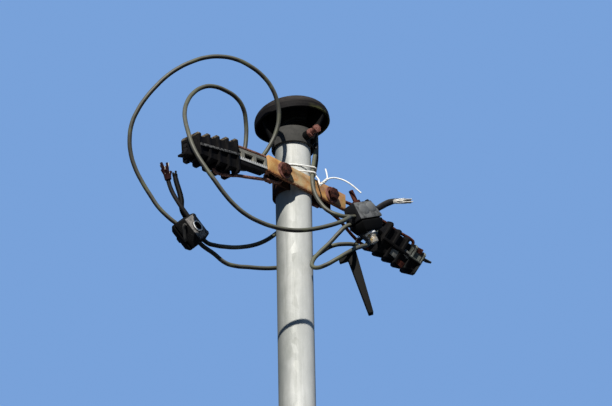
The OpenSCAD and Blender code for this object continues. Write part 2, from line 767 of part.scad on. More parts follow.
post_tube();
foot_disc();
cap_dome();
cap_collar();
cap_screw();
cap_nut();
bracket_plate();
bracket_strap();
bracket_bolt(-1);  // left_bracket_bolt
bracket_bolt(1);  // right_bracket_bolt
bracket_nut(-1);  // left_bracket_nut
bracket_nut(1);  // right_bracket_nut
clamp_body(-1);  // left_clamp_body
clamp_wedge(-1);  // left_clamp_wedge
clamp_bail(-1);  // left_clamp_bail
line_ends(-1);  // left_line_ends
clamp_body(1);  // right_clamp_body
clamp_wedge(1);  // right_clamp_wedge
clamp_bail(1);  // right_clamp_bail
line_ends(1);  // right_line_ends
left_connector_top();
left_connector_low();
left_connector_bolt();
right_connector_top();
right_connector_low();
right_connector_bolt();
riser(-riser_y);  // service_riser
riser(riser_y);  // second_riser
cable(concat([from_cap(-riser_y, collar_top - 0.2)],  // service_cable
        led(service_route, from_cap(-riser_y, collar_low + 12), in_right(right_ports[1], 1.15)),
        [in_right(right_ports[1], 0.45)]));
cable(concat([from_cap(riser_y, collar_top - 0.2)],  // second_core
        led(second_route, from_cap(riser_y, collar_low + 12), in_left(3, 1.15)), [in_left(3, 0.35)]));
cable(concat([mouth(-1, 1, -0.2)], led(big_route, mouth(-1, 1, -3), in_left(0, 1.15)),  // big_loop
        [in_left(0, 0.35)]));
cable(concat([mouth(-1, 0, -0.2)], led(small_route, mouth(-1, 0, -3), in_right(right_ports[0], 1.15)),  // small_loop
        [in_right(right_ports[0], 0.45)]));
cable(concat([in_left(4, 0.35)], led(jumper_route, in_left(4, 1.15), mouth(1, 0, -3)),  // jumper
        [mouth(1, 0, -0.2)]));
cable(concat([in_right(right_ports[2], 0.45)],  // return_loop
        led(return_route, in_right(right_ports[2], 1.15), mouth(1, 1, -3)), [mouth(1, 1, -0.2)]));
cable(concat([in_left(1, 0.35)],  // left_stub_long
        led(stub_long_route, in_left(1, 1.15), up(stub_long_route[len(stub_long_route) - 1]))));
cable(concat([in_left(2, 0.35)],  // left_stub_short
        led(stub_short_route, in_left(2, 1.15), up(stub_short_route[len(stub_short_route) - 1]))));
color([0.12, 0.12, 0.12])  // right_stub
    tube(concat([in_right(right_stub_port, 0.45)],
        led(stub_right_route, in_right(right_stub_port, 1.15),
            up(stub_right_route[len(stub_right_route) - 1]))), stub_d);
tie_wire();
tie_tail();
spare_wedge();
spare_cord();
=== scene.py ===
import math

import bpy
from mathutils import Matrix, Vector


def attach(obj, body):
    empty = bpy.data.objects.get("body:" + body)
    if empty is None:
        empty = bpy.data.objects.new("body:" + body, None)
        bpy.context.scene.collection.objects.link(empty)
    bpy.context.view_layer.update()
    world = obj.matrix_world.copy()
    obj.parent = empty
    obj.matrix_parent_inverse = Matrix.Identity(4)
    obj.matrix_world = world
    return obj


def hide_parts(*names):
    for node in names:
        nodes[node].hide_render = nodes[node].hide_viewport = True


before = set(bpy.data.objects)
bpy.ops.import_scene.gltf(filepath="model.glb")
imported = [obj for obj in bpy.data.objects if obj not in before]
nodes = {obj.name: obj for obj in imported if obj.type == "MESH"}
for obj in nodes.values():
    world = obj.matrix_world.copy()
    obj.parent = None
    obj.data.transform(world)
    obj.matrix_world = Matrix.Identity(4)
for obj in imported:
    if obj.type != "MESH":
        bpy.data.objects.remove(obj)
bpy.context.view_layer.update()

MM = 0.001
HEAD = 4000  # height of the bracket's middle; the places below are counted from it, in mm
UP = (0, 0, 1)


def at_head(p):
    """A point counted in mm from the bracket's middle, in metres."""
    return Vector((p[0] * MM, p[1] * MM, (p[2] + HEAD) * MM))


def axes(origin, x, z):
    """The place of a piece: its origin in mm from the bracket's middle, its X and its Z."""
    z = Vector(z).normalized()
    y = z.cross(Vector(x)).normalized()
    x = y.cross(z)
    m = Matrix((x, y, z)).transposed().to_4x4()
    m.translation = at_head(origin)
    return m


LEFT_CLAMP = axes((-101.16, -147.4, -13.33), (-0.6647, -0.7382, -0.1149),
                  (-0.0769, -0.0854, 0.9934))
RIGHT_CLAMP = axes((135, 114.88, -32.61), (0.6463, 0.7178, -0.2588), (-0.5407, 0.1915, -0.8192))
LEFT_CONN = axes((-172, -76, -117), (0.5862, 0.3954, -0.7071), (0.6767, -0.7188, 0.1591))
RIGHT_CONN = axes((118, 0, -62), (0.6217, 0.6438, 0.4462), (-0.3894, -0.2403, 0.8892))
FRONT = Vector((0.74314, -0.66913, 0))  # the way the bracket's plate faces

# ---------------------------------------------------------------- camera

PHOTO_WIDTH = 612  # pixels
SENSOR_WIDTH = 36  # mm
FAR = 5400  # mm from the camera to the bracket
FINE = 0.6  # pixels to a mm at that distance


def set_camera():
    """The photo's viewpoint, low in front of the post and looking up."""
    roll, tilt = math.radians(1.13), math.radians(29)
    right = Vector((1, 0, 0))
    up = Vector((0, -math.sin(tilt), math.cos(tilt)))
    out = Vector((0, math.cos(tilt), math.sin(tilt)))
    data = bpy.data.cameras.new("camera")
    data.sensor_width = SENSOR_WIDTH
    data.lens = FINE * FAR * SENSOR_WIDTH / PHOTO_WIDTH
    data.clip_end = 60
    camera = bpy.data.objects.new("camera", data)
    x = right * math.cos(roll) - up * math.sin(roll)
    y = right * math.sin(roll) + up * math.cos(roll)
    m = Matrix((x, y, -out)).transposed().to_4x4()
    m.translation = Vector((20.385, -4713.053, 1364.181)) * MM
    camera.matrix_world = m
    bpy.context.scene.collection.objects.link(camera)
    bpy.context.scene.camera = camera


set_camera()

# ---------------------------------------------------------------- patterns


def finish(name, rough, spec, metal=0.0):
    """A new material: itself, its node tree and its shader."""
    m = bpy.data.materials.new(name)
    m.use_nodes = True
    shader = m.node_tree.nodes["Principled BSDF"]
    shader.inputs["Roughness"].default_value = rough
    shader.inputs["Metallic"].default_value = metal
    shader.inputs["Specular IOR Level"].default_value = spec
    return m, m.node_tree, shader


def node(tree, kind, **inputs):
    n = tree.nodes.new(kind)
    for key, value in inputs.items():
        n.inputs[key.replace("_", " ")].default_value = value
    return n


def coords(tree, stretch=(1, 1, 1), shift=(0, 0, 0)):
    at = tree.nodes.new("ShaderNodeTexCoord")
    m = node(tree, "ShaderNodeMapping", Scale=stretch, Location=shift)
    tree.links.new(at.outputs["Object"], m.inputs["Vector"])
    return m.outputs["Vector"]


def noise(tree, size, detail, rough=0.55, stretch=(1, 1, 1), shift=(0, 0, 0), warp=0.0):
    """Cloudy pattern whose patches are about size mm across."""
    n = node(tree, "ShaderNodeTexNoise", Scale=1000 / size, Detail=detail, Roughness=rough,
             Distortion=warp)
    tree.links.new(coords(tree, stretch, shift), n.inputs["Vector"])
    return n.outputs["Fac"]


def steps(tree, source, low, high):
    """0 below low, 1 above high."""
    n = node(tree, "ShaderNodeMapRange", From_Min=low, From_Max=high)
    tree.links.new(source, n.inputs["Value"])
    return n.outputs["Result"]


def scaled(tree, source, low, high):
    """A pattern from 0 to 1 brought to the range from low to high."""
    n = node(tree, "ShaderNodeMapRange", To_Min=low, To_Max=high)
    tree.links.new(source, n.inputs["Value"])
    return n.outputs["Result"]


def times(tree, a, b, kind="MULTIPLY"):
    """Two patterns, or a pattern and a number, multiplied or added and kept from 0 to 1."""
    n = tree.nodes.new("ShaderNodeMath")
    n.operation = kind
    n.use_clamp = True
    for i, v in enumerate((a, b)):
        if isinstance(v, (int, float)):
            n.inputs[i].default_value = v
        else:
            tree.links.new(v, n.inputs[i])
    return n.outputs["Value"]


def blend(tree, share, a, b):
    """Colour a where share is 0, b where it is 1."""
    n = tree.nodes.new("ShaderNodeMix")
    n.data_type = "RGBA"
    for socket, v in ((n.inputs[6], a), (n.inputs[7], b)):
        if isinstance(v, tuple):
            socket.default_value = (*v, 1)
        else:
            tree.links.new(v, socket)
    tree.links.new(share, n.inputs[0])
    return n.outputs[2]


def over(tree, c, paint, share, *more):
    """Colour c with paint laid over it where every share given is high."""
    for other in more:
        share = times(tree, share, other)
    return blend(tree, share, c, paint)


def lifted(tree, shader, heights):
    """Bumps of the surface: pairs of a pattern and its depth in mm."""
    last = None
    for pattern, depth in heights:
        n = node(tree, "ShaderNodeBump", Strength=1.0, Distance=depth * MM)
        tree.links.new(pattern, n.inputs["Height"])
        if last is not None:
            tree.links.new(last, n.inputs["Normal"])
        last = n.outputs["Normal"]
    tree.links.new(last, shader.inputs["Normal"])


def facing(tree, low, high, way=UP):
    """1 on faces that look the given way, such as up, where dust settles."""
    g = tree.nodes.new("ShaderNodeNewGeometry")
    d = tree.nodes.new("ShaderNodeVectorMath")
    d.operation = "DOT_PRODUCT"
    d.inputs[1].default_value = Vector(way).normalized()
    tree.links.new(g.outputs["Normal"], d.inputs[0])
    return steps(tree, d.outputs["Value"], low, high)


def measured(tree, place, axis):
    """Distance in mm along a direction of a piece's own place."""
    d = tree.nodes.new("ShaderNodeVectorMath")
    d.operation = "DOT_PRODUCT"
    d.inputs[1].default_value = place.to_3x3() @ Vector(axis) * 1000
    tree.links.new(coords(tree, shift=-place.translation), d.inputs[0])
    return d.outputs["Value"]


def repeated(tree, source, pitch, share):
    """1 in a share of every pitch."""
    n = tree.nodes.new("ShaderNodeMath")
    n.operation = "PINGPONG"
    n.inputs[1].default_value = pitch / 2
    tree.links.new(source, n.inputs[0])
    soft = 0.2
    return steps(tree, n.outputs["Value"], pitch / 2 * share + soft, pitch / 2 * share - soft)


def along(tree, axis, low, high):
    """0 to 1 between two places on an axis, in metres."""
    s = tree.nodes.new("ShaderNodeSeparateXYZ")
    tree.links.new(coords(tree), s.inputs[0])
    return steps(tree, s.outputs[axis], low, high)


def colour(tree, shader, c):
    tree.links.new(c, shader.inputs["Base Color"])


def shade(c, k):
    """A colour made k times as bright."""
    return tuple(k * v for v in c)


# ---------------------------------------------------------------- finishes


def make_zinc():
    """Weathered zinc: spangle, runs and specks, grimy near the head, with painted shade on its left
    side and painted light on its right side.
    """
    left, right = (-1, -0.1, 0), (1, -0.1, 0)
    grime_from, grime_to = 3.93, 4.08
    m, t, s = finish("zinc", rough=0.5, spec=0.4, metal=0.15)
    cells = node(t, "ShaderNodeTexVoronoi", Scale=95.0, Randomness=1.0)
    t.links.new(coords(t, (1, 1, 0.6)), cells.inputs["Vector"])
    spangle = t.nodes.new("ShaderNodeSeparateColor")
    t.links.new(cells.outputs["Color"], spangle.inputs[0])
    cloud = noise(t, 45, 6, 0.65, (1, 1, 0.5))
    run = noise(t, 7, 4, 0.65, (1, 1, 0.05))
    speck = noise(t, 2.2, 3, 0.7)
    grime = noise(t, 16, 4, 0.6)
    c = blend(t, steps(t, cloud, 0.32, 0.68), (0.33, 0.34, 0.305), (0.66, 0.66, 0.61))
    c = over(t, c, (0.72, 0.73, 0.70), spangle.outputs[0], 0.22)
    c = over(t, c, (0.31, 0.32, 0.285), steps(t, run, 0.48, 0.68), 0.55)
    c = over(t, c, (0.24, 0.235, 0.20), steps(t, speck, 0.58, 0.74), 0.4)
    c = over(t, c, (0.36, 0.355, 0.30), along(t, "Z", grime_from, grime_to),
             steps(t, grime, 0.4, 0.62), 0.45)
    # painted shade on the faces that look left, then painted light on the faces that look right
    c = over(t, c, (0.20, 0.21, 0.185), facing(t, 0.25, 0.95, left), 0.85)
    c = over(t, c, (0.78, 0.79, 0.74), facing(t, 0.05, 0.75, right), 0.65)
    colour(t, s, c)
    gloss = times(t, spangle.outputs[1], cloud, "ADD")
    t.links.new(scaled(t, gloss, 0.42, 0.66), s.inputs["Roughness"])
    lifted(t, s, [(cloud, 0.5), (spangle.outputs[2], 0.05), (noise(t, 1.2, 2), 0.08)])
    return m


def make_cap():
    """Black cap, dusty in bands on top, with a green patch on the right of its rim."""
    m, t, s = finish("weathered_cap", rough=0.7, spec=0.15)
    up = facing(t, 0.02, 0.75)
    cloud = noise(t, 26, 6, 0.62, (1, 1, 1.6), warp=0.6)
    band = noise(t, 12, 4, 0.6, (0.25, 0.25, 3.2))
    speck = noise(t, 5, 3, 0.7)
    c = over(t, (0.006, 0.005, 0.005), (0.060, 0.050, 0.042), up, steps(t, cloud, 0.28, 0.7))
    c = over(t, c, (0.098, 0.088, 0.075), steps(t, band, 0.5, 0.7), up, 0.75)
    c = over(t, c, (0.03, 0.022, 0.018), steps(t, speck, 0.6, 0.72), 0.5)
    c = over(t, c, (0.085, 0.088, 0.028), along(t, "X", 0.026, 0.048),
             along(t, "Z", 4.140, 4.132), along(t, "Z", 4.118, 4.128),
             steps(t, noise(t, 7, 3), 0.35, 0.55))
    colour(t, s, c)
    lifted(t, s, [(cloud, 0.5), (noise(t, 1.5, 3), 0.15)])
    return m


def make_rust(name, dark, mid, light, patch):
    """Rusted steel in three tones, with flakes and pits."""
    rough = 0.85
    m, t, s = finish(name, rough=rough, spec=0.12)
    cloud = noise(t, patch, 6, 0.65, warp=0.4)
    fine = noise(t, patch / 4, 5, 0.7, shift=(3, 1, 2))
    c = blend(t, steps(t, cloud, 0.32, 0.62), dark, mid)
    c = over(t, c, light, steps(t, fine, 0.42, 0.66), steps(t, cloud, 0.38, 0.6))
    colour(t, s, c)
    t.links.new(scaled(t, fine, rough - 0.1, rough + 0.1), s.inputs["Roughness"])
    lifted(t, s, [(cloud, 0.35), (fine, 0.25), (noise(t, 0.7, 2), 0.1)])
    return m


def make_plate():
    """Ochre rust, pink in patches, greyer towards the plate's middle, with painted shade along its
    lower edge.
    """
    m, t, s = finish("rusted_plate", rough=0.78, spec=0.3)
    cloud = noise(t, 17, 5, 0.6, warp=0.5)
    fine = noise(t, 3.2, 5, 0.7)
    pink = noise(t, 22, 4, 0.6, shift=(5, 2, 7))
    c = blend(t, steps(t, cloud, 0.34, 0.66), (0.50, 0.22, 0.065), (0.62, 0.38, 0.135))
    c = over(t, c, (0.58, 0.34, 0.20), steps(t, pink, 0.5, 0.68), 0.75)
    c = over(t, c, (0.50, 0.42, 0.25), along(t, "X", -0.022, 0.004), along(t, "X", 0.036, 0.018),
             steps(t, cloud, 0.3, 0.6), 0.7)
    c = over(t, c, (0.30, 0.10, 0.035), steps(t, fine, 0.56, 0.7), 0.6)
    # painted shade: the lowest few mm of the plate are darkened
    c = over(t, c, (0.20, 0.065, 0.030), along(t, "Z", 3.9895, 3.9862), steps(t, fine, 0.36, 0.5))
    colour(t, s, c)
    t.links.new(scaled(t, fine, 0.66, 0.92), s.inputs["Roughness"])
    lifted(t, s, [(cloud, 0.3), (fine, 0.2)])
    return m


def make_plastic(name, base, dust, amount, rough, turn, patch=9.0, spec=0.12, way=UP):
    """Moulded plastic or tape with dust on faces that look the given way.

    turn is how squarely a face must look that way: the dust starts at its first number and
    lies in full at its second. patch is the size of the dust's patches in mm.
    """
    m, t, s = finish(name, rough=rough, spec=spec)
    cloud = noise(t, patch, 5, 0.65, warp=0.3)
    fine = noise(t, 1.6, 4, 0.7)
    c = blend(t, steps(t, cloud, 0.3, 0.7), base, shade(base, 1.6))
    c = over(t, c, dust, facing(t, *turn, way), amount, steps(t, cloud, 0.25, 0.55))
    c = over(t, c, shade(dust, 0.6), steps(t, fine, 0.58, 0.72), 0.35)
    colour(t, s, c)
    t.links.new(scaled(t, cloud, rough - 0.08, rough + 0.22), s.inputs["Roughness"])
    lifted(t, s, [(cloud, 0.12), (fine, 0.08)])
    return m


def make_cable():
    """Black sheath, paler on every face but its undersides: partly bleached and dusty, partly
    painted light. A black tape band on the riser.
    """
    base, lit = (0.008, 0.007, 0.006), (0.165, 0.163, 0.122)
    yellowed = (lit[0] * 0.9, lit[1] * 0.98, lit[2] * 0.62)
    tape_low, tape_high, soft = 4.0745, 4.0885, 0.001
    m, t, s = finish("cable_sheath", rough=0.42, spec=0.4)
    cloud = noise(t, 14, 5, 0.6, warp=0.4)
    fine = noise(t, 1.8, 4, 0.65)
    stain = noise(t, 30, 4, 0.6, shift=(2, 8, 1))
    c = blend(t, steps(t, cloud, 0.3, 0.7), base, shade(base, 1.5))
    # partly bleaching and dust, partly painted light: all faces but the undersides get the pale lit
    # colour
    c = over(t, c, lit, facing(t, -0.55, 0.15), scaled(t, cloud, 0.45, 1.0))
    c = over(t, c, yellowed, steps(t, stain, 0.5, 0.62), 0.35)
    c = over(t, c, shade(base, 0.5), steps(t, fine, 0.6, 0.74), 0.5)
    c = over(t, c, (0.008, 0.008, 0.009), along(t, "Z", tape_low, tape_low + soft),
             along(t, "Z", tape_high, tape_high - soft), along(t, "X", 0.033, 0.0335), 0.95)
    colour(t, s, c)
    t.links.new(scaled(t, fine, 0.36, 0.62), s.inputs["Roughness"])
    lifted(t, s, [(cloud, 0.15), (fine, 0.06)])
    return m


def make_wedge():
    """Grey wedge: bright worn lower rail with dark teeth, dull dusty upper rail.

    Heights are in mm in the left clamp's place, which the rails are measured from.
    """
    rail_top, teeth_top, rail_foot, soft = -2.6, -5.2, -7.6, 0.8
    pitch, notch_share = 4.2, 0.45
    m, t, s = finish("wedge_metal_worn", rough=0.5, spec=0.3)
    cloud = noise(t, 7, 5, 0.65)
    fine = noise(t, 1.5, 4, 0.7)
    high = measured(t, LEFT_CLAMP, UP)
    dull = blend(t, steps(t, cloud, 0.3, 0.7), (0.155, 0.15, 0.12), (0.27, 0.26, 0.215))
    bright = blend(t, steps(t, cloud, 0.35, 0.65), (0.60, 0.60, 0.55), (0.82, 0.82, 0.78))
    low_rail = steps(t, high, rail_top, rail_top - soft)
    c = blend(t, low_rail, dull, bright)
    teeth = repeated(t, measured(t, LEFT_CLAMP, (1, 0, 0)), pitch, notch_share)
    under = steps(t, high, teeth_top - 1, teeth_top)
    notch = times(t, teeth, times(t, low_rail, under))
    c = over(t, c, (0.05, 0.05, 0.045), notch, 0.8)
    c = over(t, c, (0.02, 0.02, 0.02), steps(t, high, rail_foot, rail_foot - soft))
    c = over(t, c, (0.10, 0.09, 0.07), steps(t, fine, 0.56, 0.7), 0.5)
    colour(t, s, c)
    lifted(t, s, [(notch, -0.5), (cloud, 0.2), (fine, 0.1)])
    return m


def make_clamp(name, place, dust, start, way, tip, ledge):
    """Black clamp body: dust on the ribs' tips, in bits on the side ledge, and beyond start mm.

    tip and ledge are the shares of dust on the ribs' tips and on the ledge. Both slope along
    the body, so their heights are measured along a leaning direction.
    """
    rib_lean, ledge_lean = (0.146, 0, 1), (0.072, 0, 1)
    m, t, s = finish(name, rough=0.62, spec=0.10)
    cloud = noise(t, 6, 5, 0.65, warp=0.3)
    fine = noise(t, 1.6, 4, 0.7)
    bits = steps(t, noise(t, 4, 4, 0.7, (1, 1, 1.6)), 0.42, 0.58)
    rise = measured(t, place, ledge_lean)
    c = blend(t, steps(t, cloud, 0.3, 0.7), (0.0035, 0.0033, 0.0032), (0.011, 0.010, 0.010))
    c = over(t, c, dust, steps(t, measured(t, place, rib_lean), 18.0, 20.5), bits, tip)
    c = over(t, c, (0.21, 0.21, 0.20), steps(t, rise, -10.2, -9.2), steps(t, rise, -4.2, -5.2),
             steps(t, measured(t, place, (0, 1, 0)), 20.8, 21.6), bits, ledge)
    c = over(t, c, dust, facing(t, 0.5, 0.9, way),
             steps(t, measured(t, place, (1, 0, 0)), start, start + 5), steps(t, cloud, 0.25, 0.55))
    c = over(t, c, (0.05, 0.047, 0.04), steps(t, fine, 0.60, 0.74), 0.3)
    colour(t, s, c)
    lifted(t, s, [(cloud, 0.15), (fine, 0.08)])
    return m


def make_plated():
    """Dull plated steel gone brassy and rusty in places."""
    m, t, s = finish("plated_bolt", rough=0.42, spec=0.4, metal=0.35)
    cloud = noise(t, 9, 5, 0.65, warp=0.4)
    fine = noise(t, 2, 4, 0.7)
    c = blend(t, steps(t, cloud, 0.42, 0.6), (0.52, 0.51, 0.46), (0.40, 0.28, 0.10))
    c = over(t, c, (0.14, 0.06, 0.03), steps(t, fine, 0.5, 0.64), 0.7)
    colour(t, s, c)
    lifted(t, s, [(cloud, 0.2), (fine, 0.15)])
    return m


SOOT = (0.004, 0.004, 0.004)

ZINC = make_zinc()
CAP = make_cap()
PLATE = make_plate()
WEDGE = make_wedge()
PLATED = make_plated()
CABLE = make_cable()
CLAMP = make_clamp("clamp_black", LEFT_CLAMP, (0.27, 0.22, 0.15), -50, UP, 0.85, 0.8)
CLAMP_RIGHT = make_clamp("clamp_black_right", RIGHT_CLAMP, (0.30, 0.32, 0.27), 60,
                         (0.66, -0.66, 0.36), 0.0, 0.0)
# rust: name, dark, mid and light tone, size of its patches in mm
RUST_DARK = make_rust("rust_dark", (0.085, 0.030, 0.022), (0.22, 0.085, 0.062),
                      (0.40, 0.22, 0.18), 8)
RUST_HEAD = make_rust("rust_head", (0.008, 0.004, 0.004), (0.030, 0.011, 0.008),
                      (0.16, 0.055, 0.035), 6)
RUST_ROD = make_rust("rust_rod", (0.075, 0.028, 0.018), (0.24, 0.105, 0.072),
                     (0.50, 0.30, 0.23), 10)
RUST_ROD_DARK = make_rust("rust_rod_dark", (0.030, 0.009, 0.007), (0.085, 0.024, 0.015),
                          (0.20, 0.07, 0.045), 10)
RUST_STRAP = make_rust("rust_strap", (0.010, 0.006, 0.005), (0.030, 0.014, 0.010),
                       (0.10, 0.04, 0.02), 9)
# plastic and tape: name, base, dust, its amount, roughness and turn, then the rest
COLLAR = make_plastic("cap_collar_dusty", (0.040, 0.039, 0.036), (0.10, 0.097, 0.086),
                      0.6, 0.7, (-0.6, 0.6))
# black; in the wedges' windows it is painted shade
CORE = make_plastic("black_and_wedge_shade", SOOT, (0.03, 0.028, 0.025), 0.5, 0.7, (0.6, 1.0),
                    spec=0.05)
GREY_LEFT = make_plastic("connector_dust_left", (0.005, 0.005, 0.005), (0.27, 0.255, 0.235),
                         1.0, 0.65, (0.80, 0.96), 5, way=(0.6767, -0.7188, 0.1591))
GREY_RIGHT = make_plastic("connector_dust_right", (0.009, 0.009, 0.010), (0.155, 0.158, 0.155),
                          1.0, 0.6, (0.70, 0.95), 12, way=(0.62, -0.76, 0.20))
# pale bluish grey on every face that does not look straight down
SWELLING = make_plastic("swelling_pale_grey", (0.10, 0.10, 0.10), (0.165, 0.172, 0.172),
                        1.0, 0.6, (-1.0, -0.2), 12)
# black; on the collar's ribs it is painted shade
BLACK = make_plastic("connector_black", SOOT, (0.04, 0.037, 0.032), 0.4, 0.65, (0.4, 1.0),
                     spec=0.08)
CHALK = make_plastic("chalky_ring", (0.80, 0.80, 0.77), (0.62, 0.60, 0.54),
                     0.5, 0.5, (-0.2, 0.6), 4, 0.3)
FIN = make_plastic("fin_grey", (0.16, 0.16, 0.145), (0.30, 0.30, 0.27),
                   0.9, 0.55, (-0.3, 0.8), 5)
TAPE = make_plastic("wrapped_tape", (0.010, 0.009, 0.009), (0.16, 0.16, 0.15),
                    0.7, 0.5, (0.3, 0.9), 5, 0.2)
TAPE_DARK = make_plastic("tape_black", SOOT, (0.04, 0.038, 0.034), 0.5, 0.5, (0.5, 1.0), 5, 0.1)
MAROON = make_plastic("frayed_tape", (0.020, 0.006, 0.007), (0.09, 0.035, 0.032),
                      0.7, 0.7, (0.2, 0.9), 4)
BARE = make_plastic("bare_strands", (0.50, 0.48, 0.43), (0.74, 0.70, 0.62),
                    0.6, 0.5, (0.0, 0.8), 3, 0.3)
WIRE = make_plastic("tie_white", (0.74, 0.74, 0.70), (0.62, 0.60, 0.52),
                    0.3, 0.45, (0.3, 1.0), 6, 0.3)
SPARE = make_plastic("spare_black", (0.006, 0.006, 0.005), (0.020, 0.019, 0.017),
                     0.8, 0.65, (-0.9, 0.6), 4, 0.08)

# ---------------------------------------------------------------- cords

service_cable = [
    (39.6, -3.9, 106.8), (39.1, -4.2, 81.8), (36.1, -9, 56.4), (33.1, -16.9, 32.8),
    (31.6, -23, 8.5), (34.8, -25.8, -17.1), (45.4, -27.2, -40.8), (58.6, -28.4, -55.7),
    (74, -27.1, -62.4), (84.8, -20.8, -62.1), (98, -7.2, -53)
]
second_core = [
    (39.6, 3.9, 106.8), (39.7, 5.3, 80.9), (38.1, 14.8, 59.2), (31.8, 27.1, 38.3),
    (22, 36.5, 17.2), (10.4, 41.6, -4.3), (-3.1, 43.6, -25.3), (-18.4, 42.3, -45),
    (-34.5, 36.7, -63.4), (-51.7, 28.2, -79.5), (-69.6, 16.4, -92.5), (-86.2, 1.2, -103.3),
    (-99.8, -17.1, -113.6), (-112.8, -36.5, -122.7), (-128.8, -52.2, -128.1),
    (-142.7, -60.2, -126.8), (-156.6, -68.8, -112.6)
]
big_loop = [
    (-107.4, -139.4, -26.4), (-90.6, -121.2, -22.9), (-75.1, -102.4, -14), (-62.9, -88.6, 1),
    (-49.7, -80.5, 21.8), (-36.7, -79, 44.2), (-26.8, -80.8, 67.2), (-21.6, -85.7, 92),
    (-23.9, -93.2, 116.7), (-32.6, -102.9, 139.2), (-47.9, -113.1, 157.3),
    (-68.1, -123.4, 170.1), (-91, -132.7, 178), (-115.8, -140.2, 179.3),
    (-140.7, -145.7, 174.6), (-164.3, -149.3, 164.4), (-185.6, -151.5, 151.5),
    (-205.9, -151.8, 135.2), (-223, -151, 116.9), (-238.6, -149.4, 97.4),
    (-251.9, -145.9, 76.6), (-262.1, -141, 53.2), (-265.8, -134.6, 28.4), (-264, -127.3, 4.5),
    (-256.8, -119.7, -19.2), (-246, -113.2, -40.9), (-233.4, -107.2, -61.6),
    (-219.8, -101.7, -82), (-202.1, -95.9, -99.6), (-188.1, -90.2, -110.4),
    (-182, -85.7, -118.4)
]
small_loop = [
    (-108.1, -140.1, -18.3), (-91.8, -121.6, -14.1), (-84.4, -113.4, -4.5),
    (-79.4, -109.7, 13.8), (-76, -110.8, 38.9), (-75.8, -116.9, 64.1), (-79.7, -128.2, 85.6),
    (-89.5, -139.2, 98.3), (-107.6, -152.8, 105.7), (-128.2, -166.8, 106.1),
    (-144.2, -177.2, 98.4), (-160, -187.7, 80.8), (-169.4, -196.9, 58.5),
    (-172.7, -206.8, 34.7), (-171, -217.2, 10.9), (-166.8, -226.1, -12.1),
    (-161, -231.3, -36.7), (-151.4, -232.4, -60.8), (-139.1, -231.6, -82.5),
    (-124.9, -228.3, -104), (-110.1, -221.3, -124.2), (-94, -213.6, -141.7),
    (-74.3, -205.5, -156.5), (-51.9, -196.3, -165.6), (-28.4, -185.9, -169.6),
    (-5.2, -174.4, -168.7), (17, -162.2, -162.8), (37.2, -149.2, -152.9),
    (55.3, -136.1, -141.6), (72.4, -122.8, -129), (85.4, -107.7, -114.5), (90, -88.9, -101),
    (90.5, -67.2, -88.3), (92, -45.2, -76.2), (98.3, -25.4, -65.1), (109, -14.7, -57.5)
]
jumper = [
    (-163.1, -72.4, -120), (-151.6, -65.4, -132.9), (-131.4, -58.7, -146.7),
    (-112.4, -48.2, -158.9), (-96.1, -38.9, -159.9), (-76.1, -23.4, -154.2),
    (-58.1, -6, -147.1), (-40.6, 11.3, -138.7), (-22.3, 27, -129.1), (0.1, 37.4, -121.3),
    (23, 41.9, -110.2), (44.1, 40.6, -95), (62.5, 41, -83.3), (86.2, 48.5, -76.2),
    (100.1, 60.2, -71.4), (104.9, 73.2, -66.6), (103.1, 95.4, -55.3), (104.6, 108.2, -43),
    (112.1, 112.9, -31.4), (125.1, 115.5, -23), (132.2, 120.5, -23.3)
]
return_loop = [
    (101.2, -1.1, -66.3), (85.6, -16.4, -78.1), (74.3, -20.1, -91.3), (58.4, -20.9, -110.5),
    (42.1, -26, -130.1), (29.1, -32.2, -150.8), (28.7, -35.4, -161.4), (35, -38.9, -166.1),
    (51, -44.5, -164), (66.7, -46.1, -155.7), (84.7, -40.1, -141.1), (99.4, -25.9, -125.2),
    (110.6, -7.2, -111.2), (119.7, 13, -97.5), (127.8, 30.8, -80.5), (133.8, 46.9, -61),
    (137.7, 63.5, -41.4), (139, 83.1, -24.3), (137.7, 99.2, -14.7), (136.6, 118.9, -16.6)
]
left_stub_long = [
    (-164.1, -84.9, -103.1), (-175.8, -92.9, -88.9), (-186.9, -97.9, -73), (-199.9, -103, -48),
    (-208, -112, -15)
]
left_stub_short = [
    (-167.6, -76, -101), (-179.3, -83.9, -86.8), (-182.3, -86.9, -78.9), (-183.2, -88.9, -61.9),
    (-192.1, -91, -25), (-194, -92, -15)
]
right_stub = [
    (124.9, -1.5, -40.3), (137.6, 11.6, -31.2), (146.7, 17.7, -22.1), (159.8, 21.8, -13.1),
    (175.9, 23.9, -9), (196, 24, -10)
]
spare_cord = [
    (106.6, -1.9, -88.2), (99.3, -14.5, -109.4), (92, -26, -131.6)
]
tie_tail = [
    (46, -33.5, -7), (48.5, -31, -4), (52, -28, -1), (57, -30, 4), (64, -31, 6), (77, -31, 4),
    (91, -32, -4), (112, -30, -23)
]
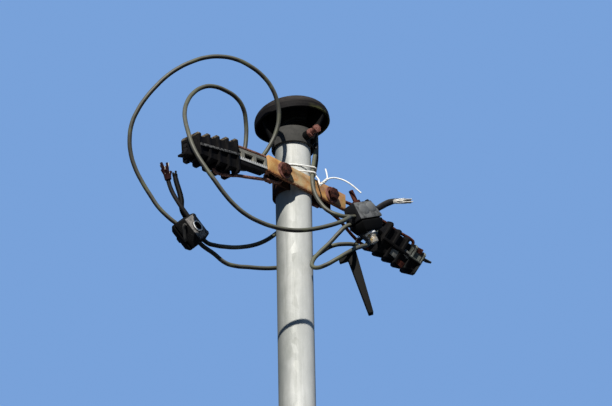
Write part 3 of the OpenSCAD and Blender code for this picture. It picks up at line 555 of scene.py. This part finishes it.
tie_wire = [
    (30.3, 9.5, 40), (25.5, 19, 39.5), (17.8, 26.3, 38.9), (8.1, 30.7, 38.4),
    (-2.5, 31.7, 37.9), (-12.8, 29, 37.4), (-21.7, 23.2, 36.8), (-28.1, 14.7, 36.3),
    (-31.4, 4.6, 35.8), (-31.2, -6, 35.3), (-27.4, -16, 34.7), (-20.6, -24.2, 34.2),
    (-11.5, -29.6, 33.7), (-1, -31.7, 33.2), (9.5, -30.3, 32.6), (34.8, -22.3, 32.1),
    (36.6, -21.4, 31.6), (37.9, -19.8, 31.1), (38.4, -17.8, 30.5), (38.2, -15.8, 30),
    (30.7, 8, 29), (26.4, 17.6, 28.5), (19.2, 25.3, 27.9), (9.8, 30.2, 27.4),
    (-0.6, 31.7, 26.9), (-11, 29.8, 26.4), (-20.1, 24.6, 25.8), (-27, 16.6, 25.3),
    (-31, 6.9, 24.8), (-31.5, -3.7, 24.3), (-28.6, -13.8, 23.7), (-22.5, -22.4, 23.2),
    (-13.9, -28.5, 22.7), (-3.8, -31.5, 22.2), (6.7, -31, 21.6), (33.8, -25.2, 21.1),
    (35.7, -24.3, 20.6), (37.1, -22.8, 20.1), (37.8, -20.8, 19.5), (37.7, -18.8, 19),
    (42, -27, 6), (45.5, -30, -5), (50, -31, -3.5), (56, -30, 4), (56, -29, 14), (54, -28, 25)
]
# both risers, from the foot to over the tube's end, as pairs of x and z
over_cap = [
    (-21.4, -4000), (-21.4, -1950), (-21.4, 107), (-20.4, 114.9), (-17.4, 122.2),
    (-12.5, 128.6), (-6.2, 133.4), (1.2, 136.5), (9.1, 137.5), (17, 136.5), (24.3, 133.4),
    (30.6, 128.6), (35.5, 122.2), (38.5, 114.9), (39.6, 107)
]

CORD = 7.2
STUB = 9.6
SPARE_CORD = 1.6
TIE = 2.6
RISER_Y = 3.9


def tube(name, points, thick, around, between, swell=None):
    """A smooth round tube through its points, as a curve; swell widens it point by point."""
    data = bpy.data.curves.new(name, "CURVE")
    data.dimensions = "3D"
    data.bevel_depth = thick * MM / 2
    data.bevel_resolution = around
    data.resolution_u = between
    data.use_fill_caps = True
    line = data.splines.new("BEZIER")
    line.bezier_points.add(len(points) - 1)
    for i, (q, p) in enumerate(zip(line.bezier_points, points)):
        q.co = at_head(p)
        q.handle_left_type = q.handle_right_type = "AUTO"
        q.radius = swell[i] if swell else 1.0
    piece = bpy.data.objects.new(name, data)
    bpy.context.scene.collection.objects.link(piece)
    return piece


def cord(node_name, points, thick, material,
         swell=None):
    """One cord in place of its CAD solid."""
    piece = tube(node_name + "_cord", points, thick, 5, 6, swell)
    piece.data.materials.append(material)
    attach(piece, "root")
    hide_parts(node_name)


for name, points in (("service_cable", service_cable), ("second_core", second_core),
                     ("big_loop", big_loop), ("small_loop", small_loop),
                     ("jumper", jumper), ("return_loop", return_loop)):
    cord(name, points, CORD, CABLE)
cord("left_stub_long", left_stub_long, CORD, TAPE)
cord("left_stub_short", left_stub_short, CORD, TAPE_DARK,
     swell=(1, 1.05, 1.15, 1.25, 1.2, 0.9))
cord("right_stub", right_stub, STUB, TAPE,
     swell=(0.9, 1.0, 1.15, 1.15, 0.76, 0.74))
cord("spare_cord", spare_cord, SPARE_CORD, TAPE)
cord("tie_tail", tie_tail, TIE, WIRE)
cord("tie_wire", tie_wire, TIE, WIRE)
for name, y in (("service_riser", -RISER_Y), ("second_riser", RISER_Y)):
    cord(name, [(x, y, z) for x, z in over_cap], CORD, CABLE)

# ---------------------------------------------------------------- rigid pieces

SHARP = math.radians(32)  # an edge that bends more than this is rounded


def only(piece):
    bpy.ops.object.select_all(action="DESELECT")
    piece.select_set(True)
    bpy.context.view_layer.objects.active = piece


def seat_piece(piece, material, replaced=None):
    """Gives a piece its finish and lets it ride, in place of a CAD node where one is named."""
    piece.data.materials.clear()
    piece.data.materials.append(material)
    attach(piece, "root")
    if replaced:
        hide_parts(replaced)
    return piece


def round_edges(piece, edge, clamp):
    """Rounds a piece's sharp edges; clamp holds the rounding back where edges are close."""
    only(piece)
    worn = piece.modifiers.new("worn_edges", "BEVEL")
    worn.width = edge
    worn.segments = 2
    worn.limit_method = "ANGLE"
    worn.angle_limit = SHARP
    worn.use_clamp_overlap = clamp
    bpy.ops.object.modifier_apply(modifier="worn_edges")


def worn_copy(node_name, name, material, edge):
    """A copy of a CAD piece with its edges worn round by edge mm."""
    piece = bpy.data.objects.new(name, nodes[node_name].data.copy())
    bpy.context.scene.collection.objects.link(piece)
    only(piece)
    bpy.ops.object.mode_set(mode="EDIT")
    bpy.ops.mesh.select_all(action="SELECT")
    bpy.ops.mesh.remove_doubles(threshold=0.00002)
    bpy.ops.mesh.dissolve_limited(angle_limit=math.radians(1.5))
    bpy.ops.object.mode_set(mode="OBJECT")
    if piece.data.has_custom_normals:
        bpy.ops.mesh.customdata_custom_splitnormals_clear()
    round_edges(piece, edge * MM, False)
    bpy.ops.object.shade_smooth_by_angle(angle=math.radians(38))
    return seat_piece(piece, material, node_name)


def second_finish(piece, material, chosen):
    """Another finish on the faces whose middle, in metres, is chosen."""
    piece.data.materials.append(material)
    for face in piece.data.polygons:
        if chosen(face.center):
            face.material_index = 1


COLLAR_RIBS = 36.55  # mm from the post's axis, where the collar's ribs start
BOLT_HEADS = 38.15  # mm in front of the axis, where the bolts' heads rise from their flanges
ROD_TIP = 20  # mm up in the right connector's place, where its bolt comes out on top

collar = worn_copy("cap_collar", "collar", COLLAR, 0.5)
# painted shade: the collar's ribs under the dome get the black finish
second_finish(collar, BLACK, lambda p: p.to_2d().length > COLLAR_RIBS * MM)
worn_copy("bracket_plate", "plate", PLATE, 0.7)
worn_copy("bracket_strap", "strap", RUST_STRAP, 0.6)
for side, clamp, grey, bolt in (("left", CLAMP, GREY_LEFT, BLACK),
                                ("right", CLAMP_RIGHT, GREY_RIGHT, PLATED)):
    worn_copy(side + "_clamp_body", side + "_clamp_shell", clamp, 0.6)
    worn_copy(side + "_clamp_wedge", side + "_ladder_wedge", WEDGE, 0.5)
    worn_copy(side + "_connector_top", side + "_upper_jaw", grey, 1.6)
    worn_copy(side + "_connector_low", side + "_lower_jaw", BLACK, 1.6)
    bolts = worn_copy(side + "_bracket_bolt", side + "_plate_bolt", RUST_DARK, 0.6)
    second_finish(bolts, RUST_HEAD, lambda p: p.dot(FRONT) > BOLT_HEADS * MM)
    worn_copy(side + "_bracket_nut", side + "_strap_nut", RUST_DARK, 0.5)
    jaw_bolt = worn_copy(side + "_connector_bolt", side + "_jaw_bolt", bolt,
                         0.6)
second_finish(jaw_bolt, RUST_ROD_DARK,
              lambda p: (RIGHT_CONN.inverted() @ p).z > ROD_TIP * MM)
worn_copy("spare_wedge", "hanging_wedge", SPARE, 0.8)
worn_copy("cap_screw", "set_screw", RUST_DARK, 0.4)
worn_copy("cap_nut", "lock_nut", RUST_DARK, 0.4)

left_bail = [
    (-102.8, -149.2, 5.9), (-97.3, -143.2, 7), (-88.2, -133, 10.1), (-77.6, -121.2, 12.3),
    (-65.6, -107.9, 14.2), (-53.6, -94.6, 16), (-44.3, -84.2, 17.2), (-32.9, -71.6, 18.6),
    (-27.7, -65.8, 18), (-23, -60.6, 14.4), (-19.6, -56.9, 8.5), (-18, -55.1, 1),
    (-18.5, -55.6, -6.7), (-20.8, -58.2, -13.7), (-24.8, -62.6, -18.7), (-29.8, -68.1, -21.1),
    (-41.1, -80.7, -23.4), (-50.2, -90.8, -27.4), (-61.9, -103.8, -32.7), (-75, -118.3, -38.5),
    (-90.6, -135.7, -45.2), (-99, -145, -50.2), (-121.9, -170.4, -59.2),
    (-125.3, -174.2, -58.8), (-126.9, -176, -55), (-127.6, -176.8, -45.4)
]
right_bail = [
    (124.6, 118.7, -48.6), (119.3, 112.9, -46.5), (109.4, 103.1, -44.1), (97.8, 85.6, -40.6),
    (86.3, 65.6, -35.8), (77.1, 50.5, -31.2), (68.1, 40.6, -27.1), (57.2, 28.5, -22.2),
    (52.5, 23.3, -18.7), (49, 19.4, -12.8), (47.4, 17.6, -5.4), (47.7, 17.9, 2.3),
    (50, 20.5, 9.3), (53.9, 24.9, 14.5), (58.9, 30.4, 17), (64.1, 36.1, 16.5),
    (75.2, 48.4, 12.4), (84.6, 59, 11.1), (99.7, 69.8, 9.3), (117.7, 80.3, 6),
    (145.4, 99.9, -2.1), (173.7, 128.6, -9.8), (199.1, 152.8, -14.8), (201.8, 156.6, -16.9),
    (200.9, 158.8, -20.7), (195.6, 160.6, -28.6)
]


def bent_rod(name, points, thick, material, replaced=None):
    """A rod bent along its points, made a mesh with closed ends."""
    piece = tube(name, points, thick, 4, 5)
    only(piece)
    bpy.ops.object.convert(target="MESH")
    piece = bpy.context.object
    bpy.ops.object.mode_set(mode="EDIT")
    bpy.ops.mesh.select_all(action="SELECT")
    bpy.ops.mesh.remove_doubles(threshold=0.00001)
    bpy.ops.mesh.normals_make_consistent(inside=False)
    bpy.ops.object.mode_set(mode="OBJECT")
    bpy.ops.object.shade_smooth_by_angle(angle=math.radians(50))
    return seat_piece(piece, material, replaced)


BAIL_ROD = 5.5
bent_rod("left_bail", left_bail, BAIL_ROD, RUST_ROD, "left_clamp_bail")
bent_rod("right_bail", right_bail, BAIL_ROD, RUST_ROD_DARK, "right_clamp_bail")

# ---------------------------------------------------------------- small pieces
# Each is modelled in mm round the middle, then put in its place.


def placed(piece, name, place, material):
    """Moves a piece modelled in mm round the middle to its place, and lets it ride."""
    piece.name = piece.data.name = name
    only(piece)
    bpy.ops.object.transform_apply(location=True, rotation=True, scale=True)
    piece.matrix_world = place @ Matrix.Scale(MM, 4)
    bpy.ops.object.transform_apply(location=True, rotation=True, scale=True)
    bpy.ops.object.shade_smooth_by_angle(angle=math.radians(35))
    seat_piece(piece, material)


def copied(piece, at, size=1.0):
    """A copy with its own mesh, at another spot and size."""
    other = bpy.data.objects.new(piece.name, piece.data.copy())
    bpy.context.scene.collection.objects.link(other)
    other.location = at
    other.scale = (size, size, size)
    return other


def edit_end(piece, way):
    """Goes into edit mode with the faces that look the given way selected."""
    bpy.ops.object.mode_set(mode="EDIT")
    bpy.ops.mesh.select_all(action="DESELECT")
    bpy.ops.object.mode_set(mode="OBJECT")
    for face in piece.data.polygons:
        face.select = face.normal.dot(Vector(way)) > 0.9
    bpy.ops.object.mode_set(mode="EDIT")


def block(low, high, edge, taper=None):
    """A bar between two corners in mm; taper narrows the face at its low X."""
    bpy.ops.object.select_all(action="DESELECT")
    middle = [(a + b) / 2 for a, b in zip(low, high)]
    bpy.ops.mesh.primitive_cube_add(size=1, location=middle)
    piece = bpy.context.object
    piece.scale = [b - a for a, b in zip(low, high)]
    bpy.ops.object.transform_apply(location=True, rotation=True, scale=True)
    if taper:
        edit_end(piece, (-1, 0, 0))
        bpy.ops.transform.resize(value=(1, *taper))
        bpy.ops.object.mode_set(mode="OBJECT")
    round_edges(piece, edge, True)
    return piece


def drum(radius, low, high, sides, edge, inset=0.0, sink=0.0, at=(0, 0)):
    """A round or many-sided drum along Z in mm, its top face inset, then sunk by sink.

    A deep sink is cut as a straight hole, a shallow one as a dish.
    """
    bpy.ops.object.select_all(action="DESELECT")
    bpy.ops.mesh.primitive_cylinder_add(vertices=sides, radius=radius, depth=high - low,
                                        location=(*at, (low + high) / 2))
    piece = bpy.context.object
    bpy.ops.object.transform_apply(location=True, rotation=True, scale=True)
    if inset:
        edit_end(piece, UP)
        bpy.ops.mesh.inset(thickness=inset)
        down = (0, 0, sink)
        if abs(sink) > 2:
            bpy.ops.mesh.extrude_region_move(TRANSFORM_OT_translate={"value": down})
        else:
            bpy.ops.transform.translate(value=down)
        bpy.ops.object.mode_set(mode="OBJECT")
    round_edges(piece, edge, True)
    return piece


def ring(radius, thick, high):
    """A round ring about Z in mm: a small circle spun round the axis."""
    bpy.ops.object.select_all(action="DESELECT")
    bpy.ops.mesh.primitive_circle_add(vertices=12, radius=thick / 2, location=(radius, 0, high),
                                      rotation=(math.pi / 2, 0, 0))
    piece = bpy.context.object
    bpy.ops.object.transform_apply(location=True, rotation=True, scale=True)
    bpy.ops.object.mode_set(mode="EDIT")
    bpy.ops.mesh.select_all(action="SELECT")
    bpy.ops.mesh.spin(steps=40, angle=2 * math.pi, center=(0, 0, 0), axis=UP)
    bpy.ops.mesh.select_all(action="SELECT")
    bpy.ops.mesh.remove_doubles(threshold=0.001)
    bpy.ops.mesh.normals_make_consistent(inside=False)
    bpy.ops.object.mode_set(mode="OBJECT")
    return piece


def swelling(radius):
    """A low round swelling that looks along -Y."""
    bpy.ops.object.select_all(action="DESELECT")
    bpy.ops.mesh.primitive_uv_sphere_add(segments=32, ring_count=16, radius=radius)
    piece = bpy.context.object
    bpy.ops.object.mode_set(mode="EDIT")
    bpy.ops.transform.resize(value=(1, 0.3, 0.85), center_override=(0, 0, 0))
    bpy.ops.object.mode_set(mode="OBJECT")
    return piece


def spot(place, p):
    """A point of a piece's own place, in mm from the bracket's middle."""
    v = place @ (Vector(p) * MM) / MM
    return v[0], v[1], v[2] - HEAD


# painted shade: a black block in each wedge's windows, and the bar under each wedge
for side, place, reach in (("left", LEFT_CLAMP, -73), ("right", RIGHT_CLAMP, -51)):
    placed(block((reach + 1, -5, -3.3), (-2, 7, 6.3), 0.5), side + "_wedge_window_shade", place, CORE)
    placed(block((reach, -5.4, -16.5), (-0.6, 10.8, -9.1), 0.8, (0.9, 0.75)),
           side + "_wedge_keeper", place, CLAMP)

# the left connector's sunk hexagon and its bright ring, the moulded rib and the small bosses
placed(drum(7.4, 15, 22.8, 6, 0.3, 2.2, -5), "left_socket", LEFT_CONN, CORE)
placed(ring(8.5, 2.4, 24.2), "left_socket_ring", LEFT_CONN, CHALK)
moulded_rib = ((-14, -19.5, 20), (-13, -20.5, 16), (-4, -20.5, 9), (6, -20.3, 1.5), (8, -19, 0))
bent_rod("left_moulded_rib", [spot(LEFT_CONN, p) for p in moulded_rib], 5.5, COLLAR)
boss = drum(3.2, 20.5, 23.4, 20, 0.6, 1.0, -0.8)
for i, (x, y) in enumerate(((-17, 12), (17, 12), (17, -12))):
    placed(copied(boss, (x, y, 0)), "left_boss_%d" % i, LEFT_CONN, GREY_LEFT)
bpy.data.objects.remove(boss)

# the right connector's two soft swellings, the plug above them and the rings of its bolt
low_dome = swelling(12.5)
for i, (x, z, size) in enumerate(((-8, 17, 1.0), (12.5, 19.5, 0.96))):
    placed(copied(low_dome, (x, -14.3, z), size), "right_swelling_%d" % i, RIGHT_CONN, SWELLING)
bpy.data.objects.remove(low_dome)
placed(drum(3.4, 31.5, 35.5, 20, 0.7, 1.0, -0.8, (17, -9)), "right_plug", RIGHT_CONN, CORE)
placed(drum(9.2, -22.4, -18.4, 32, 0.8, 1.4, -0.6), "right_bolt_cup", RIGHT_CONN, CHALK)
placed(drum(6.4, -31, -27.5, 24, 0.6), "right_bolt_ring", RIGHT_CONN, PLATED)


def twist(start, end, wide, side):
    """The line of one of two strands that wind round each other."""
    points, turn = 13, 1.1
    way = (end - start).normalized()
    out = way.orthogonal().normalized()
    line = []
    for k in range(points):
        a = k * turn + math.pi * side
        line.append(start.lerp(end, k / (points - 1))
                    + (out * math.cos(a) + way.cross(out) * math.sin(a)) * wide)
    return line


# the twist that closes the tie wire
for i in (0, 1):
    bent_rod("tie_twist_%d" % i,
             twist(Vector((44, -31.5, -7.5)), Vector((56.5, -31.5, 4)), 1.25, i), 2.3, WIRE)

# bits of broken cover between the ribs of the right clamp: where they start, their lower and
# upper edge, and how many degrees each is turned about the clamp's own middle
for i, (x, low, high, turn, material) in enumerate((
        (28, -3, 11, 5, FIN), (50, -25, -13, -6, FIN),
        (50, -2, 9, -4, RUST_ROD_DARK), (72, -27, -17, 7, RUST_ROD_DARK))):
    shard = block((x, 16.2, low), (x + 16, 18.4, high), 0.5, (1, 0.72))
    shard.rotation_euler = (0, math.radians(turn), 0)
    placed(shard, "right_cover_bit_%d" % i, RIGHT_CLAMP, material)


def spread(start, end, count, round_start, flare, curl):
    """Lines from a circle round the start towards the end, splayed by flare mm, each with its
    share of the thickness; the sines and cosines make them uneven."""
    a, b = Vector(start), Vector(end)
    way = (b - a).normalized()
    u = way.orthogonal().normalized()
    v = way.cross(u)
    lines = []
    for i in range(count):
        t = 2 * math.pi * i / count + 0.4
        long = way * ((b - a).length * (0.72 + 0.28 * math.sin(2.3 * i + 1.0)))
        wide = flare * (0.6 + 0.4 * math.cos(1.7 * i))
        out, turned, bent = (u * math.cos(t + k * curl) + v * math.sin(t + k * curl)
                             for k in range(3))
        lines.append(([a + out * round_start,
                       a + long * 0.35 + turned * (round_start + 0.2),
                       a + long * 0.7 + bent * (round_start + wide * 0.4),
                       a + long + bent * (round_start + wide)],
                      0.8 + 0.3 * math.sin(3.1 * i)))
    return lines


def frayed(name, lines, thick, material):
    """Stiff strands or strips bent apart, joined into one piece."""
    parts = [bent_rod("%s_%d" % (name, i), line, thick * share, material)
             for i, (line, share) in enumerate(lines)]
    bpy.ops.object.select_all(action="DESELECT")
    for part in parts:
        part.select_set(True)
    bpy.context.view_layer.objects.active = parts[0]
    bpy.ops.object.join()
    parts[0].name = name


# the frayed ends of the stubs
frayed("right_stub_strands",
       spread((163, 21.8, -11.8), (199, 24, -10.5), 11, 3.0, 0.3, 0.5), 2.3, BARE)
frayed("right_stub_wisps",
       spread((168, 22.6, -10.5), (192, 24, -10.2), 6, 3.8, 2.2, 0.9), 1.1, CHALK)
frayed("left_stub_tape",
       spread((-203.5, -107, -34), (-211, -114, -6), 10, 3.6, 5.0, 0.5), 5.2, MAROON)
frayed("left_stub_wisps",
       spread((-205, -110, -26), (-209.5, -113.5, -7), 6, 4.0, 4.2, 1.1), 1.8, BARE)
frayed("left_short_end",
       spread((-193, -91.4, -20), (-194.5, -92.4, -11), 6, 2.6, 0.8, 0.6), 4.0, TAPE_DARK)

# CAD pieces that show as they are
for node_name, material in (("post_tube", ZINC), ("foot_disc", ZINC), ("cap_dome", CAP),
                            ("left_line_ends", TAPE), ("right_line_ends", TAPE)):
    for slot in nodes[node_name].material_slots:
        slot.material = material

# ---------------------------------------------------------------- sky, sun and floor


def set_sky():
    """Blue sky, seen at full strength and lighting the pole at a third of it."""
    low_sky, high_sky, share_of_light = (0.12, 0.15, 0.19), (0.19, 0.36, 0.70), 0.34
    world = bpy.data.worlds.new("studio")
    bpy.context.scene.world = world
    world.use_nodes = True
    tree = world.node_tree
    back = tree.nodes["Background"]
    at = tree.nodes.new("ShaderNodeTexCoord")
    s = tree.nodes.new("ShaderNodeSeparateXYZ")
    tree.links.new(at.outputs["Generated"], s.inputs[0])
    sky = blend(tree, steps(tree, s.outputs["Z"], -0.25, 0.3), low_sky, high_sky)
    tree.links.new(sky, back.inputs["Color"])
    seen = tree.nodes.new("ShaderNodeLightPath")
    strength = scaled(tree, seen.outputs["Is Camera Ray"], share_of_light, 1.0)
    tree.links.new(strength, back.inputs["Strength"])


def set_sun():
    """The key light; its direction puts the small loop's shadow on the post."""
    azimuth, elevation = math.radians(-98), math.radians(30.5)
    key = bpy.data.lights.new("key", "SUN")
    key.energy = 4.4
    key.angle = math.radians(0.8)
    key.color = (1.0, 0.97, 0.93)
    lamp = bpy.data.objects.new("key", key)
    to = Vector((math.cos(elevation) * math.cos(azimuth),
                 math.cos(elevation) * math.sin(azimuth), math.sin(elevation)))
    lamp.rotation_euler = (-to).to_track_quat("-Z", "Y").to_euler()
    lamp.location = to * 8
    bpy.context.scene.collection.objects.link(lamp)


def set_floor():
    bpy.ops.object.select_all(action="DESELECT")
    bpy.ops.mesh.primitive_grid_add(x_subdivisions=8, y_subdivisions=8, size=3.2,
                                    location=(0, 0, 0))
    floor = bpy.context.object
    floor.name = "floor"
    m, t, s = finish("pale_floor", rough=0.8, spec=0.3)
    colour(t, s, blend(t, noise(t, 400, 3), (0.50, 0.51, 0.52), (0.56, 0.57, 0.58)))
    floor.data.materials.append(m)


set_sky()
set_sun()
set_floor()
bpy.context.scene.view_settings.view_transform = "Standard"
